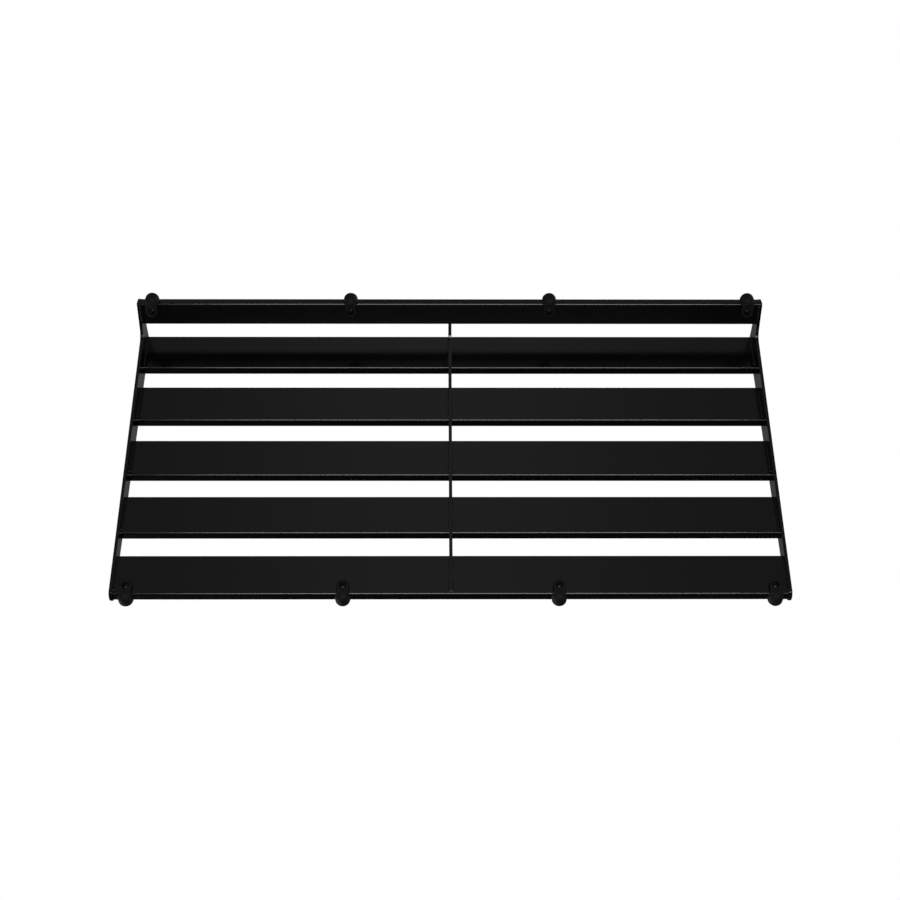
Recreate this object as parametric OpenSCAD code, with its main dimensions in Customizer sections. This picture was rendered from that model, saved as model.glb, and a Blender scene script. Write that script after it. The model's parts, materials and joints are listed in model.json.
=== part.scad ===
// Pedalboard: a welded frame of five flat tubes between two bent side plates,
// with a centre rib, a rear rail across the legs and eight screwed-on rubber feet.
// Lengths are millimetres. X runs along the width, +Y is the raised rear, +Z is up.
// It stands on its feet: z = 0 is the floor, and x = y = 0 is the middle of its box.

/* [Frame] */
// Overall width over the two side plates
board_w = 600; // [595:1:800]
// Thickness of the side plates and of the centre rib
plate_t = 3; // [2:0.5:4]
// Length of a side plate along the deck, from its nose to its rear edge
plate_len = 293; // [293:1:320]
// Depth of a side plate at its nose
nose_depth = 11.8; // [11.8:0.1:14]
// Angle between the deck and the lower edge of a side plate
wedge_angle = 3.3; // [2:0.02:5]
// Angle of the leg's front edge from square to the deck
leg_lean = 21.8; // [16:0.1:24]
// Distance of the leg's end below the deck surface, at its front corner
leg_drop = 60.9; // [56:0.1:76]
// Distance of the leg's end behind the rear edge of the deck
leg_out = 7.7; // [4:0.1:10]
// Radius of the inner bend between a side plate and its leg
bend_r = 12; // [4:0.5:14]

/* [Tubes] */
// Number of deck slats
slat_count = 5; // [3:1:5]
// Width of a deck slat
slat_w = 40; // [34:0.5:40]
// Thickness of the deck slats and of the rear rail
tube_t = 10.3; // [9.8:0.1:10.4]
// Wall of every tube
wall_t = 1.5; // [1:0.1:1.5]
// Outer corner radius of every tube
corner_r = 2; // [1.6:0.1:2.4]
// Distance from one slat to the next
slat_pitch = 62.5; // [54:0.1:62.5]
// Distance of the front slat behind the nose of the side plates
slat_inset = 2; // [1.5:0.1:2.5]
// Height of the rear rail along the leg
rail_h = 23; // [20:0.5:26]

/* [Feet] */
// Number of feet under the front slat, and the same number on the rear rail
feet_per_row = 4; // [2:1:4]
// Distance from one foot to the next in a row
foot_pitch = 190.4; // [150:0.1:190.4]
// Diameter of a foot's round end
bulb_d = 13.4; // [13:0.1:14.4]
// Distance of the round end's axis outside the tube's edge
bulb_out = 1.2; // [0.5:0.1:2]
// Width of the tab that is screwed on
tab_w = 11; // [10:0.5:12]
// Length of the tab from the tube's edge
tab_len = 13.9; // [13.6:0.1:16]
// Thickness of the tab
tab_t = 4; // [3.8:0.1:4.4]
// Distance of the screw from the tube's edge
screw_in = 7.7; // [7.5:0.1:8.2]

/* [Hidden] */
ROWS = ["front", "rear"];
function foot_names(what) = [for (row = ROWS, i = [1 : feet_per_row]) str(what, "_", row, "_", i)];
$fn = 48;
arc_step = 10;

// The frame is drawn in the deck's own plane coordinates [u, h]: u runs from the nose to
// the rear, and h is the height over the deck surface, so everything hangs at h below 0.
nose_top_r = 4;
nose_low_r = 6;
heel_r = 3;
rib_nose_r = 0.9;
rib_edge_r = 0.5;
edge_slope = tan(wedge_angle);
leg_down = [sin(leg_lean), -cos(leg_lean)];
leg_front = [-cos(leg_lean), -sin(leg_lean)];
leg_toe = [plate_len + leg_out - tube_t * cos(leg_lean), -leg_drop];
leg_heel = leg_toe - tube_t * leg_front;
leg_len = (leg_drop - nose_depth - edge_slope * leg_toe[0])
        / (cos(leg_lean) - edge_slope * sin(leg_lean));
bend = leg_toe - leg_len * leg_down;
function under_edge(u) = [u, -nose_depth - edge_slope * u];

// A foot's round end: a dome towards the floor, and a flat end with a rounded rim
bulb_r = bulb_d / 2;
dome_in = 2;
rim_back = 4;
rim_in = tube_t - rim_back;
rim_r = 3;

// The fasteners of a foot
fit = 0.1;
flange_d = 8.4;
flange_t = 0.8;
nut_d = 5.6;
nut_grip_d = 7.4;
nut_grip_t = 1.6;
nut_tail = 4.6;
nut_len = wall_t + nut_tail;
thread_d = 4;
web_t = 1;
washer_d = 6.1;
washer_t = 0.5;
recess_d = 6.3;
head_d = 5.4;
head_t = 1.3;
shank_tail = 3.6;
shank_len = flange_t + web_t + washer_t + wall_t + shank_tail;
drive_w = 3.2;
drive_slot = 0.8;
drive_deep = 0.8;
over = 1;

// Preview colours
coat = [0.07, 0.07, 0.07];
rubber = [0.05, 0.05, 0.05];
black_steel = [0.12, 0.12, 0.13];
grey_steel = [0.25, 0.25, 0.26];
zinc = [0.55, 0.55, 0.56];

// The deck is tilted until the domes of the front and the rear feet stand on one floor
front_dome = [slat_inset - bulb_out, dome_in - tube_t];
front_rim = [slat_inset - bulb_out, rim_in - tube_t];
rear_dome = leg_toe + bulb_out * leg_down - dome_in * leg_front;
rear_rim = leg_toe + bulb_out * leg_down - rim_in * leg_front;
tilt = atan2(front_dome[1] - rear_dome[1], rear_dome[0] - front_dome[0]);
function tilted(p) = [p[0] * cos(tilt) - p[1] * sin(tilt), p[0] * sin(tilt) + p[1] * cos(tilt)];
rim_reach = bulb_r - rim_r;
floor_h = tilted(front_dome)[1] - bulb_r;
y_front = tilted(front_rim)[0] - rim_reach * cos(tilt) - rim_r;
y_rear = tilted(rear_rim)[0] + rim_reach * sin(leg_lean + tilt) + rim_r;

// Stands the deck's coordinates on the floor, centred front to rear
module on_floor() {
    translate([0, -(y_front + y_rear) / 2, -floor_h]) rotate([tilt, 0, 0]) children();
}

// A [u, h] outline made into a bar of the given width, centred on x
module across(x, width) {
    translate([x - width / 2, 0, 0]) rotate([90, 0, 90]) linear_extrude(width) children();
}

// A polygon, points anticlockwise, whose corners are arcs of the given radii
module rounded(points, radii) {
    n = len(points);
    function unit(v) = v / norm(v);
    function corner(i) = let (
        to_last = unit(points[(i + n - 1) % n] - points[i]),
        to_next = unit(points[(i + 1) % n] - points[i]),
        half = acos(to_last * to_next) / 2,
        turn = sign(cross(to_next, to_last)) * (180 - 2 * half),
        centre = points[i] + radii[i] / sin(half) * unit(to_last + to_next),
        start = points[i] + radii[i] / tan(half) * to_last - centre,
        angle = atan2(start[1], start[0]),
        steps = ceil(abs(turn) / arc_step)
    ) [for (k = [0 : steps])
        centre + radii[i] * [cos(angle + turn * k / steps), sin(angle + turn * k / steps)]];
    polygon([for (i = [0 : n - 1]) each corner(i)]);
}

// Section of a flat tube: width along u, its lower front corner at [0, -thickness]
module tube_section(width, thickness, r) {
    polygon([[r, -thickness], [width - r, -thickness], [width, r - thickness], [width, -r],
             [width - r, 0], [r, 0], [0, -r], [0, r - thickness]]);
    for (u = [r, width - r], h = [r - thickness, -r]) translate([u, h]) circle(r);
}

// A hollow flat tube between the two side plates
module tube(width) {
    across(0, board_w - 2 * plate_t) difference() {
        tube_section(width, tube_t, corner_r);
        translate([wall_t, -wall_t])
            tube_section(width - 2 * wall_t, tube_t - 2 * wall_t, corner_r - wall_t + fit);
    }
}

// A side plate's outline: nose, straight lower edge, bend, and leg
module plate_outline() {
    rounded([under_edge(0), bend, leg_toe, leg_heel, [plate_len, 0], [0, 0]],
            [nose_low_r, bend_r, corner_r, corner_r, heel_r, nose_top_r]);
}

module side_plate(side) {
    color(coat) on_floor() across(side * (board_w - plate_t) / 2, plate_t)
        plate_outline();
}

// The centre rib follows the side plates' lower edge, under the slats and up to the rail
module centre_rib() {
    rib_start = slat_inset + corner_r;
    rib_end = slat_inset + (slat_count - 1) * slat_pitch + slat_w - corner_r;
    rail_top = leg_toe - rail_h * leg_down;
    color(coat) on_floor() across(0, plate_t)
        rounded([under_edge(rib_start), bend, rail_top, rail_top - tube_t * leg_front,
                 [rib_end, -tube_t], [rib_start, -tube_t]],
                [rib_nose_r, bend_r, rib_edge_r, rib_edge_r, rib_edge_r, rib_edge_r]);
}

// Moves a foot's own frame to its place: the origin is the tube's edge, +Y runs inwards
// along the tube's wide face, and +Z points out of that face
module at_foot(row, i) {
    x = (i - (feet_per_row + 1) / 2) * foot_pitch;
    if (row == "front") translate([x, slat_inset, -tube_t]) rotate([0, 180, 0]) children();
    else translate([x, leg_toe[0], leg_toe[1]]) rotate([90 + leg_lean, 0, 0]) children();
}

// The holes in a tube's wall that hold one row of rivet nuts
module nut_holes(row) {
    for (i = [1 : feet_per_row]) at_foot(row, i) translate([0, screw_in, -wall_t - over])
        cylinder(d = nut_d + fit, h = wall_t + 2 * over);
}

module deck_slat(i) {
    color(coat) on_floor() difference() {
        translate([0, slat_inset + (i - 1) * slat_pitch, 0]) tube(slat_w);
        if (i == 1) nut_holes("front");
    }
}

// The rear rail stands on edge along the leg, its wide face to the front
module rear_rail() {
    color(coat) on_floor() difference() {
        translate([0, leg_heel[0], leg_heel[1]]) rotate([90 + leg_lean, 0, 0])
            translate([0, 0, tube_t]) tube(rail_h);
        nut_holes("rear");
    }
}

// The round end of a foot, about its own axis
module bulb() {
    rotate_extrude() {
        translate([0, -rim_in]) square([bulb_r, rim_in - dome_in]);
        translate([0, -rim_in - rim_r]) square([rim_reach, rim_r]);
        translate([rim_reach, -rim_in]) circle(rim_r);
        translate([0, -dome_in]) intersection() {
            circle(bulb_r);
            square(bulb_r);
        }
    }
}

// A rubber foot: the round end over the tube's edge, and the tab with its screw recess
module foot(row, i) {
    tab_end = tab_len - tab_w / 2;
    color(rubber) on_floor() at_foot(row, i) difference() {
        union() {
            translate([0, -bulb_out, 0]) bulb();
            translate([0, tab_end, 0]) cylinder(d = tab_w, h = tab_t);
            translate([-tab_w / 2, -bulb_out, 0]) cube([tab_w, tab_end + bulb_out, tab_t]);
        }
        across(0, bulb_d + 2 * over) tube_section(slat_w, tube_t, corner_r);
        translate([0, screw_in, -over]) cylinder(d = thread_d + 4 * fit, h = tab_t + 2 * over);
        translate([0, screw_in, -over]) cylinder(d = flange_d + 2 * fit, h = flange_t + over);
        translate([0, screw_in, flange_t + web_t]) cylinder(d = recess_d, h = tab_t);
    }
}

// The washer that keeps the screw's head from pulling through the rubber
module foot_washer(row, i) {
    color(grey_steel) on_floor() at_foot(row, i)
        translate([0, screw_in, flange_t + web_t]) difference() {
            cylinder(d = washer_d, h = washer_t);
            translate([0, 0, -over]) cylinder(d = thread_d + 2 * fit, h = washer_t + 2 * over);
        }
}

// A pan-head machine screw with a cross recess
module foot_screw(row, i) {
    color(black_steel) on_floor() at_foot(row, i)
        translate([0, screw_in, flange_t + web_t + washer_t]) difference() {
            union() {
                cylinder(d = head_d, h = head_t);
                translate([0, 0, -shank_len]) cylinder(d = thread_d - fit, h = shank_len);
            }
            for (a = [0, 90]) rotate(a) translate([-drive_w / 2, -drive_slot / 2, head_t - drive_deep])
                cube([drive_w, drive_slot, drive_deep + over]);
        }
}

// A rivet nut: its flange lies on the tube, and its collapsed collar grips inside the wall
module rivet_nut(row, i) {
    color(zinc) on_floor() at_foot(row, i) translate([0, screw_in, 0]) difference() {
        union() {
            cylinder(d = flange_d, h = flange_t);
            translate([0, 0, -nut_len]) cylinder(d = nut_d, h = nut_len);
            translate([0, 0, -wall_t - nut_grip_t]) cylinder(d = nut_grip_d, h = nut_grip_t);
        }
        translate([0, 0, -nut_len - over]) cylinder(d = thread_d, h = nut_len + flange_t + 2 * over);
    }
}

side_plate(-1);  // side_plate_left
side_plate(1);  // side_plate_right
centre_rib();
rear_rail();
for (i = [1 : slat_count])
    deck_slat(i);
for (row = ROWS, i = [1 : feet_per_row]) {
    foot(row, i);
    foot_screw(row, i);
    foot_washer(row, i);
    rivet_nut(row, i);
}
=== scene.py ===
"""Looks of the pedalboard: a powder-coated slatted frame on moulded rubber feet.
Everything is built in the row frame, in metres: +X along the width, +Y to the raised rear, +Z up."""

import json
import math

import bmesh
import bpy
from mathutils import Matrix, Vector


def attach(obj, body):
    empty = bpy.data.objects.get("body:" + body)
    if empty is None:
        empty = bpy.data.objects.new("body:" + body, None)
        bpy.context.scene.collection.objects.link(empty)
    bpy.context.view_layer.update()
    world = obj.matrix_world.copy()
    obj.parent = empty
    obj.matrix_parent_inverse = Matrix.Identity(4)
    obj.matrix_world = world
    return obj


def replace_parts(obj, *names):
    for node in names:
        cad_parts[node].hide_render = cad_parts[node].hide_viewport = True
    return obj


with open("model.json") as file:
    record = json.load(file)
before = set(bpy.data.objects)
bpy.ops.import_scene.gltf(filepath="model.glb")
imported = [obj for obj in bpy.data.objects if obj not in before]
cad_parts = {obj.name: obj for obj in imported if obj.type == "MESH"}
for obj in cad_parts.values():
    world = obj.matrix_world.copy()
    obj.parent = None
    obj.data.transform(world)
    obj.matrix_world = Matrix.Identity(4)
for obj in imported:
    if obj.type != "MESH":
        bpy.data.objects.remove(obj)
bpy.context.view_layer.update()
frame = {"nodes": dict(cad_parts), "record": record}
MM = 0.001

# The board's plan, in millimetres, as in the CAD model
BOARD_W, PLATE_T = 600.0, 3.0
HALF = BOARD_W / 2 - PLATE_T
PLATE_LEN, NOSE, WEDGE = 293.0, 11.8, math.radians(3.3)
LEAN, DROP, LEG_OUT = math.radians(21.8), 60.9, 7.7
SLAT_W, TUBE_T, CORNER, PITCH, INSET, RAIL_H = 40.0, 10.3, 2.0, 62.5, 2.0, 23.0
SLATS, FEET, FOOT_PITCH = 5, 4, 190.4
BULB_R, BULB_OUT, RIM_IN, RIM_R, DOME_IN = 6.7, 1.2, 6.3, 3.0, 2.0
RIM_REACH = BULB_R - RIM_R
TAB_W, TAB_LEN, TAB_T, SCREW_IN = 11.0, 13.9, 4.0, 7.7
LEG_DOWN = Vector((math.sin(LEAN), -math.cos(LEAN)))
LEG_FRONT = Vector((-math.cos(LEAN), -math.sin(LEAN)))
TOE = Vector((PLATE_LEN + LEG_OUT - TUBE_T * math.cos(LEAN), -DROP))
HEEL = TOE - TUBE_T * LEG_FRONT
SLOPE = math.tan(WEDGE)
LEG_LEN = (DROP - NOSE - SLOPE * TOE[0]) / (math.cos(LEAN) - SLOPE * math.sin(LEAN))
BEND = TOE - LEG_LEN * LEG_DOWN

# The deck is tilted until the domes of the front and the rear feet stand on one floor, and
# the board is centred between the feet's rims
FRONT_DOME = Vector((INSET - BULB_OUT, DOME_IN - TUBE_T))
FRONT_RIM = Vector((INSET - BULB_OUT, RIM_IN - TUBE_T))
REAR_DOME = TOE + BULB_OUT * LEG_DOWN - DOME_IN * LEG_FRONT
REAR_RIM = TOE + BULB_OUT * LEG_DOWN - RIM_IN * LEG_FRONT
TILT = math.atan2(FRONT_DOME[1] - REAR_DOME[1], REAR_DOME[0] - FRONT_DOME[0])


def tilted(p):
    """A point of the plan, turned with the deck."""
    return (
        p[0] * math.cos(TILT) - p[1] * math.sin(TILT),
        p[0] * math.sin(TILT) + p[1] * math.cos(TILT),
    )


FLOOR_H = tilted(FRONT_DOME)[1] - BULB_R
Y_FRONT = tilted(FRONT_RIM)[0] - RIM_REACH * math.cos(TILT) - RIM_R
Y_REAR = tilted(REAR_RIM)[0] + RIM_REACH * math.sin(LEAN + TILT) + RIM_R
Y_MID = (Y_FRONT + Y_REAR) / 2

# From the plan, in millimetres, to the row frame, in metres
DECK = (
    Matrix.Translation((0, -Y_MID * MM, -FLOOR_H * MM))
    @ Matrix.Rotation(TILT, 4, "X")
    @ Matrix.Scale(MM, 4)
)
LEG_TURN = Matrix.Rotation(math.pi / 2 + LEAN, 4, "X")
RAIL_FRAME = Matrix.Translation((0, HEEL[0], HEEL[1])) @ LEG_TURN @ Matrix.Translation((0, 0, TUBE_T))


# ---------------------------------------------------------------- materials
class Nodes:
    """Short calls for building one node tree. A socket given as an input is linked to it."""

    def __init__(self, tree):
        self.tree = tree
        tree.nodes.clear()

    def add(self, kind, inputs=(), **settings):
        node = self.tree.nodes.new(kind)
        for key, value in settings.items():
            setattr(node, key, value)
        for key, value in dict(inputs).items():
            if isinstance(value, bpy.types.NodeSocket):
                self.tree.links.new(value, node.inputs[key])
            else:
                node.inputs[key].default_value = value
        return node

    def noise(self, where, scale, detail=2.0, rough=0.5):
        inputs = {"Vector": where, "Scale": scale, "Detail": detail, "Roughness": rough}
        return self.add("ShaderNodeTexNoise", inputs).outputs["Fac"]

    def between(self, value, low, high, to_low, to_high, **settings):
        inputs = {"Value": value, "From Min": low, "From Max": high, "To Min": to_low, "To Max": to_high}
        return self.add("ShaderNodeMapRange", inputs, **settings).outputs["Result"]

    def tint(self, value, low, high):
        ramp = self.add("ShaderNodeValToRGB", {"Fac": value})
        ramp.color_ramp.elements[0].color = (*low, 1)
        ramp.color_ramp.elements[1].color = (*high, 1)
        ramp.color_ramp.elements[0].position = 0.3
        ramp.color_ramp.elements[1].position = 0.7
        return ramp.outputs["Color"]

    def calc(self, operation, a, b=0.0):
        return self.add("ShaderNodeMath", {0: a, 1: b}, operation=operation).outputs["Value"]

    def bump(self, height, distance, strength=1.0, normal=None):
        inputs = {"Height": height, "Distance": distance, "Strength": strength}
        if normal is not None:
            inputs["Normal"] = normal
        return self.add("ShaderNodeBump", inputs).outputs["Normal"]


def material(name, paint):
    m = bpy.data.materials.new(name)
    m.use_nodes = True
    n = Nodes(m.node_tree)
    where = n.add("ShaderNodeTexCoord").outputs["Object"]
    shader = paint(n, where)
    n.add("ShaderNodeOutputMaterial", {"Surface": shader})
    return m


def powder_coat(n, where):
    peel = n.noise(where, 900, 1.5, 0.4)
    wave = n.noise(where, 260, 1.0)
    handling = n.noise(where, 14, 4.0, 0.6)
    grain = n.noise(where, 4200, 1.0)
    colour = n.tint(grain, (0.0009, 0.0009, 0.00095), (0.0018, 0.0018, 0.0018))
    rough = n.between(handling, 0.3, 0.7, 0.15, 0.2)
    normal = n.bump(peel, 0.000004, 1.0, n.bump(wave, 0.000004))
    return n.add(
        "ShaderNodeBsdfPrincipled",
        {"Base Color": colour, "Roughness": rough, "IOR": 1.5, "Normal": normal},
    ).outputs["BSDF"]


def moulded_rubber(n, where):
    texture = n.noise(where, 3500, 3.0, 0.6)
    dust = n.noise(where, 160, 4.0, 0.65)
    colour = n.tint(dust, (0.0018, 0.0018, 0.0018), (0.0046, 0.0046, 0.0045))
    rough = n.between(texture, 0.3, 0.7, 0.62, 0.8)
    normal = n.bump(texture, 0.00004, 0.8)
    return n.add(
        "ShaderNodeBsdfPrincipled",
        {"Base Color": colour, "Roughness": rough, "IOR": 1.33, "Normal": normal},
    ).outputs["BSDF"]


def plated_steel(low, high, rough_low, rough_high):
    def paint(n, where):
        stain = n.noise(where, 700, 4.0, 0.6)
        fine = n.noise(where, 6000, 1.0)
        return n.add(
            "ShaderNodeBsdfPrincipled",
            {
                "Base Color": n.tint(stain, low, high),
                "Metallic": 1.0,
                "Roughness": n.between(stain, 0.3, 0.7, rough_low, rough_high),
                "Normal": n.bump(fine, 0.000004),
            },
        ).outputs["BSDF"]

    return paint


MATERIALS = {
    "frame_coat": material("powder_coat_black", powder_coat),
    "foot_rubber": material("rubber_moulded_black", moulded_rubber),
    "screw_black": material(
        "steel_black_zinc", plated_steel((0.022, 0.022, 0.023), (0.05, 0.05, 0.052), 0.22, 0.34)
    ),
    "washer_steel": material(
        "steel_dark_zinc", plated_steel((0.05, 0.05, 0.052), (0.09, 0.09, 0.092), 0.3, 0.45)
    ),
    "nut_zinc": material(
        "steel_bright_zinc", plated_steel((0.42, 0.42, 0.43), (0.58, 0.58, 0.58), 0.25, 0.4)
    ),
}
for part in frame["record"]["subparts"]:
    mesh = frame["nodes"][part["node"]].data
    mesh.materials.clear()
    mesh.materials.append(MATERIALS[part["material_slot"]])


# ---------------------------------------------------------------- mesh helpers
SHARP = math.radians(42)
BEVEL_FROM = math.radians(40)


def linked(name, mesh):
    obj = bpy.data.objects.new(name, mesh)
    bpy.context.scene.collection.objects.link(obj)
    return obj


def new_object(name, bm, place, slot, bevel=0.0, weighted=True):
    """A finished mesh object in the row frame, riding on the frame. Its edges are either
    bevelled or, where they turn by more than SHARP, kept sharp."""
    bmesh.ops.transform(bm, matrix=place, verts=bm.verts)
    bmesh.ops.recalc_face_normals(bm, faces=bm.faces)
    if not bevel:
        for e in bm.edges:
            if len(e.link_faces) == 2 and e.calc_face_angle(0) > SHARP:
                e.smooth = False
    mesh = bpy.data.meshes.new(name)
    bm.to_mesh(mesh)
    bm.free()
    mesh.polygons.foreach_set("use_smooth", [True] * len(mesh.polygons))
    mesh.materials.append(MATERIALS[slot])
    obj = linked(name, mesh)
    if bevel:
        mod = obj.modifiers.new("edge", "BEVEL")
        mod.width, mod.segments, mod.limit_method, mod.angle_limit = bevel, 3, "ANGLE", BEVEL_FROM
    if weighted:
        mod = obj.modifiers.new("flats", "WEIGHTED_NORMAL")
        mod.mode, mod.weight, mod.keep_sharp = "FACE_AREA", 90, not bevel
    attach(obj, "root")
    return obj


def arc(centre, r, start, turn, steps):
    """Points from angle start on, turning by turn about the centre."""
    angles = [start + turn * k / steps for k in range(steps + 1)]
    return [centre + r * Vector((math.cos(a), math.sin(a))) for a in angles]


def turns(count):
    """Angles evenly round a circle."""
    return [2 * math.pi * k / count for k in range(count)]


def rounded(points, radii, fine=math.radians(6)):
    """The outline through anticlockwise points with each corner rounded."""
    out, n = [], len(points)
    for i, (p, r) in enumerate(zip(points, radii)):
        a = (points[i - 1] - p).normalized()
        b = (points[(i + 1) % n] - p).normalized()
        half = math.acos(a.dot(b)) / 2
        cross = b[0] * a[1] - b[1] * a[0]
        turn = math.copysign(math.pi - 2 * half, cross)
        centre = p + r / math.sin(half) * (a + b).normalized()
        start = p + r / math.tan(half) * a - centre
        steps = max(2, math.ceil(abs(turn) / fine))
        out += arc(centre, r, math.atan2(start[1], start[0]), turn, steps)
    return out


def skin(bm, rings):
    """A closed skin over rings of vertices that all have the same count."""
    n = len(rings[0])
    for a, b in zip(rings, rings[1:]):
        for i in range(n):
            bm.faces.new((a[i], a[(i + 1) % n], b[(i + 1) % n], b[i]))
    bm.faces.new(rings[0][::-1])
    bm.faces.new(rings[-1])


def bar(outline, x0, x1, cuts=1):
    """A [u, h] outline made into a bar from x0 to x1."""
    bm = bmesh.new()
    stops = [x0 + (x1 - x0) * k / cuts for k in range(cuts + 1)]
    skin(bm, [[bm.verts.new((x, p[0], p[1])) for p in outline] for x in stops])
    return bm


def section(width, height, r):
    """Section of a flat tube, its lower front corner at [0, -height]."""
    corners = [Vector(p) for p in ((0, -height), (width, -height), (width, 0), (0, 0))]
    return rounded(corners, [r] * 4, math.radians(9))


# ---------------------------------------------------------------- the frame
NOSE_LOW_R, NOSE_TOP_R, HEEL_R, BEND_R = 6.0, 4.0, 3.0, 12.0
RIB_NOSE_R, RIB_EDGE_R = 0.9, 0.5
PLATE_BEVEL = 0.25 * MM


def under_edge(u):
    """The point of a plate's lower edge at u, in front of the bend."""
    return Vector((u, -NOSE - SLOPE * u))


def flat_plate(name, outline, x):
    """A sheet centred on x, with its edges slightly broken."""
    bm = bar(outline, x - PLATE_T / 2, x + PLATE_T / 2)
    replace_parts(new_object(name + "_coated", bm, DECK, "frame_coat", bevel=PLATE_BEVEL), name)


def flat_tube(name, place, width):
    """A tube between the side plates. Its open ends are hidden, so it is modelled solid."""
    bm = bar(section(width, TUBE_T, CORNER), -HALF, HALF, cuts=12)
    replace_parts(new_object(name + "_coated", bm, place, "frame_coat"), name)


plate_line = rounded(
    [under_edge(0), BEND, TOE, HEEL, Vector((PLATE_LEN, 0)), Vector((0, 0))],
    [NOSE_LOW_R, BEND_R, CORNER, CORNER, HEEL_R, NOSE_TOP_R],
)
for side, name in ((-1, "side_plate_left"), (1, "side_plate_right")):
    flat_plate(name, plate_line, side * (BOARD_W - PLATE_T) / 2)

rib_start = INSET + CORNER
rib_end = INSET + (SLATS - 1) * PITCH + SLAT_W - CORNER
rail_top = TOE - RAIL_H * LEG_DOWN
rib_line = rounded(
    [
        under_edge(rib_start), BEND, rail_top, rail_top - TUBE_T * LEG_FRONT,
        Vector((rib_end, -TUBE_T)), Vector((rib_start, -TUBE_T)),
    ],
    [RIB_NOSE_R, BEND_R, RIB_EDGE_R, RIB_EDGE_R, RIB_EDGE_R, RIB_EDGE_R],
)
flat_plate("centre_rib", rib_line, 0)

slat_starts = [INSET + i * PITCH for i in range(SLATS)]
for i, u in enumerate(slat_starts, 1):
    flat_tube(f"deck_slat_{i}", DECK @ Matrix.Translation((0, u, 0)), SLAT_W)
flat_tube("rear_rail", DECK @ RAIL_FRAME, RAIL_H)


# ---------------------------------------------------------------- weld beads
BEAD_STEP, BEAD_SIDES, BEAD_TAPER = 0.45, 10, 1.6
SLAT_BEAD_R, RAIL_BEAD_R, RIB_BEAD_R = 0.9, 0.6, 0.7
SLAT_BEAD_INSET, RAIL_BEAD_INSET, RIB_BEAD_INSET, RIB_BEAD_LEN = 3.5, 3.0, 4.0, 10.0


def bead(bm, start, end, radius, ripple=0.05, pitch=1.3):
    """A rippled weld bead along a joint line, tapered at both ends."""
    length = (end - start).length
    t = (end - start).normalized()
    side = t.orthogonal().normalized()
    other = t.cross(side)
    spokes = [math.cos(a) * side + math.sin(a) * other for a in turns(BEAD_SIDES)]
    steps = max(6, math.ceil(length / BEAD_STEP))
    rings = []
    for k in range(steps + 1):
        d = length * k / steps
        edge = min(d, length - d)
        r = radius * math.sqrt(max(0.02, min(1.0, edge / (BEAD_TAPER * radius))))
        r *= 1 + ripple * (1 - 2 * abs((d / pitch) % 1 - 0.5))
        rings.append([bm.verts.new(start + t * d + r * spoke) for spoke in spokes])
    skin(bm, rings)


def rail_point(x, up, out):
    """A point of the rear rail: up along its wide face from the toe, out of its front face."""
    p = TOE - LEG_DOWN * up + LEG_FRONT * out
    return Vector((x, p[0], p[1]))


for side, name in ((-1, "left"), (1, "right")):
    bm = bmesh.new()
    x = side * HALF
    for u in slat_starts:
        ends = (u + SLAT_BEAD_INSET, u + SLAT_W - SLAT_BEAD_INSET)
        bead(bm, *(Vector((x, e, -TUBE_T)) for e in ends), SLAT_BEAD_R)
    for out in (0, -TUBE_T):
        ends = (RAIL_BEAD_INSET, RAIL_H - RAIL_BEAD_INSET)
        bead(bm, *(rail_point(x, e, out) for e in ends), RAIL_BEAD_R, ripple=0.0)
    new_object(f"weld_beads_{name}", bm, DECK, "frame_coat", weighted=False)
bm = bmesh.new()
for side in (-1, 1):
    x = side * PLATE_T / 2
    for u in slat_starts:
        for a in (RIB_BEAD_INSET, SLAT_W - RIB_BEAD_INSET - RIB_BEAD_LEN):
            ends = (u + a, u + a + RIB_BEAD_LEN)
            bead(bm, *(Vector((x, e, -TUBE_T)) for e in ends), RIB_BEAD_R)
new_object("weld_beads_rib", bm, DECK, "frame_coat", weighted=False)


# ---------------------------------------------------------------- feet and fasteners
def lathe(profile, segments=48):
    """A closed solid of revolution about Z from (radius, height) points, bottom to top."""
    bm = bmesh.new()
    rings = []
    for r, z in profile:
        if r < 1e-6:
            rings.append([bm.verts.new((0, 0, z))])
        else:
            rings.append([bm.verts.new((r * math.cos(a), r * math.sin(a), z)) for a in turns(segments)])
    for a, b in zip(rings, rings[1:]):
        for k in range(segments):
            j = (k + 1) % segments
            if len(a) == 1:
                bm.faces.new((a[0], b[k], b[j]))
            elif len(b) == 1:
                bm.faces.new((a[k], b[0], a[j]))
            else:
                bm.faces.new((a[k], b[k], b[j], a[j]))
    bmesh.ops.recalc_face_normals(bm, faces=bm.faces)
    return bm


def turned(profile):
    """lathe() with its ends brought to the axis."""
    return lathe([(0, profile[0][1])] + list(profile) + [(0, profile[-1][1])])


def as_object(bm, at=(0, 0, 0)):
    """A working object, only used by with_modifiers()."""
    bmesh.ops.translate(bm, verts=bm.verts, vec=at)
    bmesh.ops.recalc_face_normals(bm, faces=bm.faces)
    mesh = bpy.data.meshes.new("working")
    bm.to_mesh(mesh)
    bm.free()
    return linked("working", mesh)


def with_modifiers(obj, *steps):
    """The mesh that obj has after the given modifiers; the tools they use are removed."""
    tools = []
    for kind, settings in steps:
        mod = obj.modifiers.new(kind, kind)
        for key, value in settings.items():
            setattr(mod, key, value)
            if isinstance(value, bpy.types.Object):
                tools.append(value)
    graph = bpy.context.evaluated_depsgraph_get()
    mesh = bpy.data.meshes.new_from_object(obj.evaluated_get(graph))
    for o in [obj] + tools:
        bpy.data.objects.remove(o)
    return mesh


def cut(tool):
    return ("BOOLEAN", {"operation": "DIFFERENCE", "solver": "EXACT", "object": tool})


def joined(tool):
    return ("BOOLEAN", {"operation": "UNION", "solver": "EXACT", "object": tool})


def profile_arc(cx, cz, r, start, end, steps=8):
    """(radius, height) points of an arc, its angles in degrees."""
    angles = [math.radians(start + (end - start) * k / steps) for k in range(steps + 1)]
    return [(cx + r * math.cos(a), cz + r * math.sin(a)) for a in angles]


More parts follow.
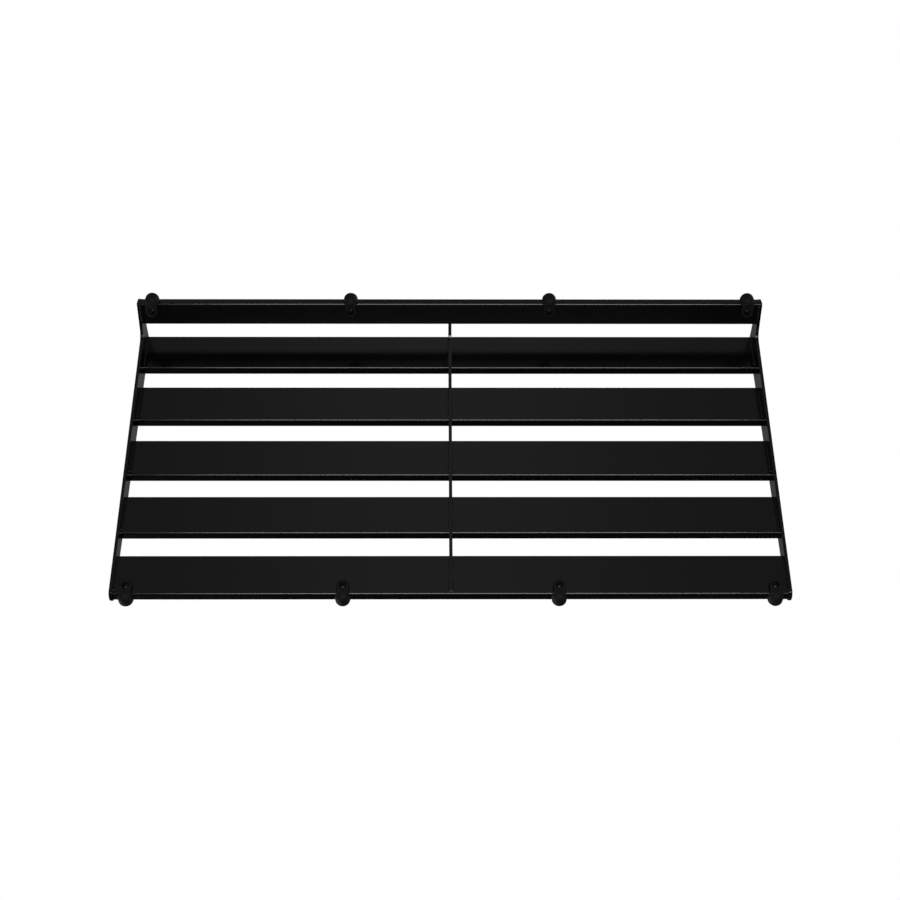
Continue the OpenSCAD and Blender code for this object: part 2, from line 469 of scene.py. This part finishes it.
# The foot: voxel size and smoothing of the moulded form, and the recess for the screw
VOXEL = 0.36
TAB_EDGE, TAB_CROWN, TAB_SINK = 0.9, 0.9, 0.2
RECESS = [
    (2.3, -1), (2.3, 1.8), (3.0, 1.8), (3.02, 3.0), (3.1, 3.4), (3.35, 3.8), (3.6, 4.6),
]
SEAT_HALF_W = 9


def foot_mesh():
    """The moulded foot in its own frame: the tube's edge at the origin, +Y in along its face."""
    rim = profile_arc(RIM_REACH, -RIM_IN, RIM_R, -90, 0)
    dome = profile_arc(0, -DOME_IN, BULB_R, 0, 88, 14)
    body = as_object(turned(rim + dome), (0, -BULB_OUT, 0))
    end = TAB_LEN - TAB_W / 2
    h = TAB_W / 2
    outline = [Vector((-h, -BULB_OUT)), Vector((h, -BULB_OUT))] + arc(Vector((0, end)), h, 0, math.pi, 28)
    bm = bmesh.new()
    low = [bm.verts.new((p[0], p[1], -TAB_SINK)) for p in outline]
    mid = [bm.verts.new((p[0], p[1], TAB_T - TAB_EDGE)) for p in outline]
    centre = Vector((0, end / 2))
    top = [bm.verts.new((*(centre + (p - centre) * TAB_CROWN), TAB_T)) for p in outline]
    skin(bm, [low, mid, top])
    tab = as_object(bm)
    moulded = with_modifiers(
        body,
        joined(tab),
        ("REMESH", {"mode": "VOXEL", "voxel_size": VOXEL}),
        ("SMOOTH", {"factor": 0.5, "iterations": 9}),
    )
    recess = as_object(turned(RECESS), (0, SCREW_IN, 0))
    seat = as_object(bar(section(SLAT_W, TUBE_T, CORNER), -SEAT_HALF_W, SEAT_HALF_W))
    return with_modifiers(linked("working", moulded), cut(recess), cut(seat))


# (radius, height) of the screw from its shank to its crown, and of the washer's section
SCREW = [
    (1.95, -7), (1.95, 0), (2.6, 0), (2.7, 0.1), (2.7, 0.4),
    (2.52, 0.85), (2.05, 1.12), (1.3, 1.25), (0.5, 1.3),
]
WASHER = [
    (2.1, 0.08), (2.18, 0), (2.95, 0), (3.0, 0.08), (3.0, 0.4),
    (2.92, 0.5), (2.2, 0.5), (2.1, 0.42), (2.1, 0.08),
]
# Half length, half width and height of one slot of the cross recess, at its mouth and floor
SLOT = [(1.55, 0.42, 1.6), (0.75, 0.3, 0.25)]
CROSS_ANGLES = (20, 110)


def screw_mesh():
    """A pan-head screw, the underside of its head at z = 0."""
    square = ((-1, -1), (1, -1), (1, 1), (-1, 1))
    slots = []
    for angle in CROSS_ANGLES:
        bm = bmesh.new()
        skin(bm, [[bm.verts.new((sx * a, sy * b, z)) for sx, sy in square] for a, b, z in SLOT])
        bmesh.ops.rotate(bm, verts=bm.verts, matrix=Matrix.Rotation(math.radians(angle), 3, "Z"))
        slots.append(cut(as_object(bm)))
    return with_modifiers(as_object(turned(SCREW)), *slots)


def washer_mesh():
    """A washer with broken edges, its lower face at z = 0."""
    bm = lathe(WASHER)
    bmesh.ops.remove_doubles(bm, verts=bm.verts, dist=0.001)
    bmesh.ops.recalc_face_normals(bm, faces=bm.faces)
    mesh = bpy.data.meshes.new("washer")
    bm.to_mesh(mesh)
    bm.free()
    return mesh


def place_copy(node, ending, source, place, slot):
    bm = bmesh.new()
    bm.from_mesh(source)
    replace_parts(new_object(f"{node}_{ending}", bm, place, slot), node)


foot_shape, screw_shape, washer_shape = foot_mesh(), screw_mesh(), washer_mesh()
# Heights over the tube's face, and how far each screw happened to be turned, in degrees
HEAD_UP, WASHER_UP = 2.3, 1.8
SPIN_STEP, REAR_SPIN = 37, 11
for i in range(1, FEET + 1):
    x = (i - (FEET + 1) / 2) * FOOT_PITCH
    # The foot's own frame: the tube's edge at the origin, +Y in along its face, +Z out of it
    spots = {
        "front": Matrix.Translation((x, INSET, -TUBE_T)) @ Matrix.Rotation(math.pi, 4, "Y"),
        "rear": Matrix.Translation((x, TOE[0], TOE[1])) @ LEG_TURN,
    }
    for row, spot in spots.items():
        spin = Matrix.Rotation(math.radians(SPIN_STEP * i + (REAR_SPIN if row == "rear" else 0)), 4, "Z")
        head = DECK @ spot @ Matrix.Translation((0, SCREW_IN, HEAD_UP)) @ spin
        ring = DECK @ spot @ Matrix.Translation((0, SCREW_IN, WASHER_UP))
        place_copy(f"foot_{row}_{i}", "moulded", foot_shape, DECK @ spot, "foot_rubber")
        place_copy(f"foot_screw_{row}_{i}", "pan", screw_shape, head, "screw_black")
        place_copy(f"foot_washer_{row}_{i}", "ring", washer_shape, ring, "washer_steel")

# ---------------------------------------------------------------- scene
# The main view is from below, so the floor shows only from above and casts nothing
FLOOR_R = 6.0
floor_mesh = bpy.data.meshes.new("floor")
bm = bmesh.new()
bm.faces.new([bm.verts.new((FLOOR_R * math.cos(a), FLOOR_R * math.sin(a), 0)) for a in turns(96)])
bm.to_mesh(floor_mesh)
bm.free()
floor = linked("floor", floor_mesh)
floor_look = bpy.data.materials.new("floor_pale")
floor_look.use_nodes = True
n = Nodes(floor_look.node_tree)
where = n.add("ShaderNodeTexCoord").outputs["Object"]
pale = n.tint(n.noise(where, 3, 2.0), (0.8, 0.8, 0.8), (0.84, 0.84, 0.84))
matt = n.add("ShaderNodeBsdfDiffuse", {"Color": pale}).outputs["BSDF"]
even = n.add("ShaderNodeEmission", {"Color": pale, "Strength": 0.5}).outputs["Emission"]
paint = n.add("ShaderNodeAddShader", {0: matt, 1: even}).outputs["Shader"]
clear = n.add("ShaderNodeBsdfTransparent").outputs["BSDF"]
back = n.add("ShaderNodeNewGeometry").outputs["Backfacing"]
mix = n.add("ShaderNodeMixShader", {0: back, 1: paint, 2: clear}).outputs["Shader"]
n.add("ShaderNodeOutputMaterial", {"Surface": mix})
floor_mesh.materials.append(floor_look)
floor.visible_shadow = False
floor.visible_diffuse = False
floor.visible_glossy = False
floor.visible_transmission = False

world = bpy.data.worlds.new("studio")
bpy.context.scene.world = world
world.use_nodes = True
n = Nodes(world.node_tree)
way = n.add("ShaderNodeTexCoord").outputs["Generated"]


def along(direction):
    """The cosine of the angle between a ray and a direction."""
    inputs = {0: way, 1: Vector(direction).normalized()}
    return n.add("ShaderNodeVectorMath", inputs, operation="DOT_PRODUCT").outputs["Value"]


def ease(value, start, end, low, high):
    return n.between(value, start, end, low, high, interpolation_type="SMOOTHSTEP")


def toward(direction, start, end, value):
    """A soft lobe of the sky, from nothing at cosine start to value at cosine end."""
    return ease(along(direction), start, end, 0.0, value)


# The sky is white to the camera. Reflections see a dim sky with soft lobes: low_rear is
# mirrored by the undersides, high_rear by the plates' inner faces, and the beams by the
# other faces in the views from above
across = n.calc("ABSOLUTE", along((1, 0, 0)))
low_rear = n.calc("MULTIPLY", toward((0, 0.70, -0.71), 0.80, 0.97, 1.0), ease(across, 0.0, 0.2, 0.31, 0.16))
high_rear = n.calc("MULTIPLY", toward((0, 0.45, 0.9), 0.3, 1.0, 0.14), ease(across, 0.03, 0.14, 0.25, 1.0))
glow = n.calc("ADD", low_rear, high_rear)
beams = [toward((side, 0, 0.12), 0.75, 1.0, 0.35) for side in (-1, 1)]
beams += [toward((0.7 * side, ahead, 0), 0.88, 1.0, 0.3) for side in (-1, 1) for ahead in (-0.7, 0.7)]
beams += [toward((0, -0.92, -0.4), 0.93, 1.0, 0.3), toward((0, 1, 0.1), 0.8, 1.0, 0.06)]
SKY_BASE = 0.015
for beam in [*beams, SKY_BASE]:
    glow = n.calc("ADD", glow, beam)
camera_ray = n.add("ShaderNodeLightPath").outputs["Is Camera Ray"]
seen = n.add("ShaderNodeMix", {0: camera_ray, 2: glow, 3: 1.0}, data_type="FLOAT").outputs[0]
sky = n.add("ShaderNodeBackground", {"Color": (1, 1, 1, 1), "Strength": seen}).outputs["Background"]
n.add("ShaderNodeOutputWorld", {"Surface": sky})


def area(name, place, target, size_x, size_y, watts):
    light = bpy.data.lights.new(name, "AREA")
    light.shape, light.size, light.size_y, light.energy = "RECTANGLE", size_x, size_y, watts
    obj = linked(name, light)
    obj.location = place
    obj.rotation_euler = (Vector(target) - Vector(place)).to_track_quat("-Z", "Y").to_euler()
    obj.visible_camera = False


CENTRE = (0, 0, 0.04)
area("under_strip", (-0.05, -0.42, -1.6), CENTRE, 1.15, 0.45, 16.5)
area("side_softbox_right", (2.3, -1.2, 2.0), CENTRE, 2.4, 2.4, 36)
area("side_softbox_left", (-2.3, 1.2, 2.1), CENTRE, 2.4, 2.4, 40)

camera = bpy.data.cameras.new("camera")
camera.sensor_width, camera.lens = 36.0, 60.0
camera.clip_start, camera.clip_end = 0.05, 60
eye = linked("camera", camera)
# The camera looks up at the underside from in front, a little off the middle, and aims at a
# point of the deck's top, which is given in the plan
CAMERA_UP, CAMERA_FAR, CAMERA_OFF = math.radians(65.81), 1.415, 0.0104
SIGHT = Vector((0, math.cos(CAMERA_UP), math.sin(CAMERA_UP)))
AIM = DECK @ Vector((0.2, 162.79, 0))
STAND = AIM - SIGHT * CAMERA_FAR + Vector((CAMERA_OFF, 0, 0))
ahead = (AIM - STAND).normalized()
right = ahead.cross(Vector((0, SIGHT.z, -SIGHT.y))).normalized()
turn = Matrix((right, right.cross(ahead), -ahead)).transposed().to_4x4()
eye.matrix_world = Matrix.Translation(STAND) @ turn
bpy.context.scene.camera = eye
bpy.context.scene.view_settings.view_transform = "Standard"
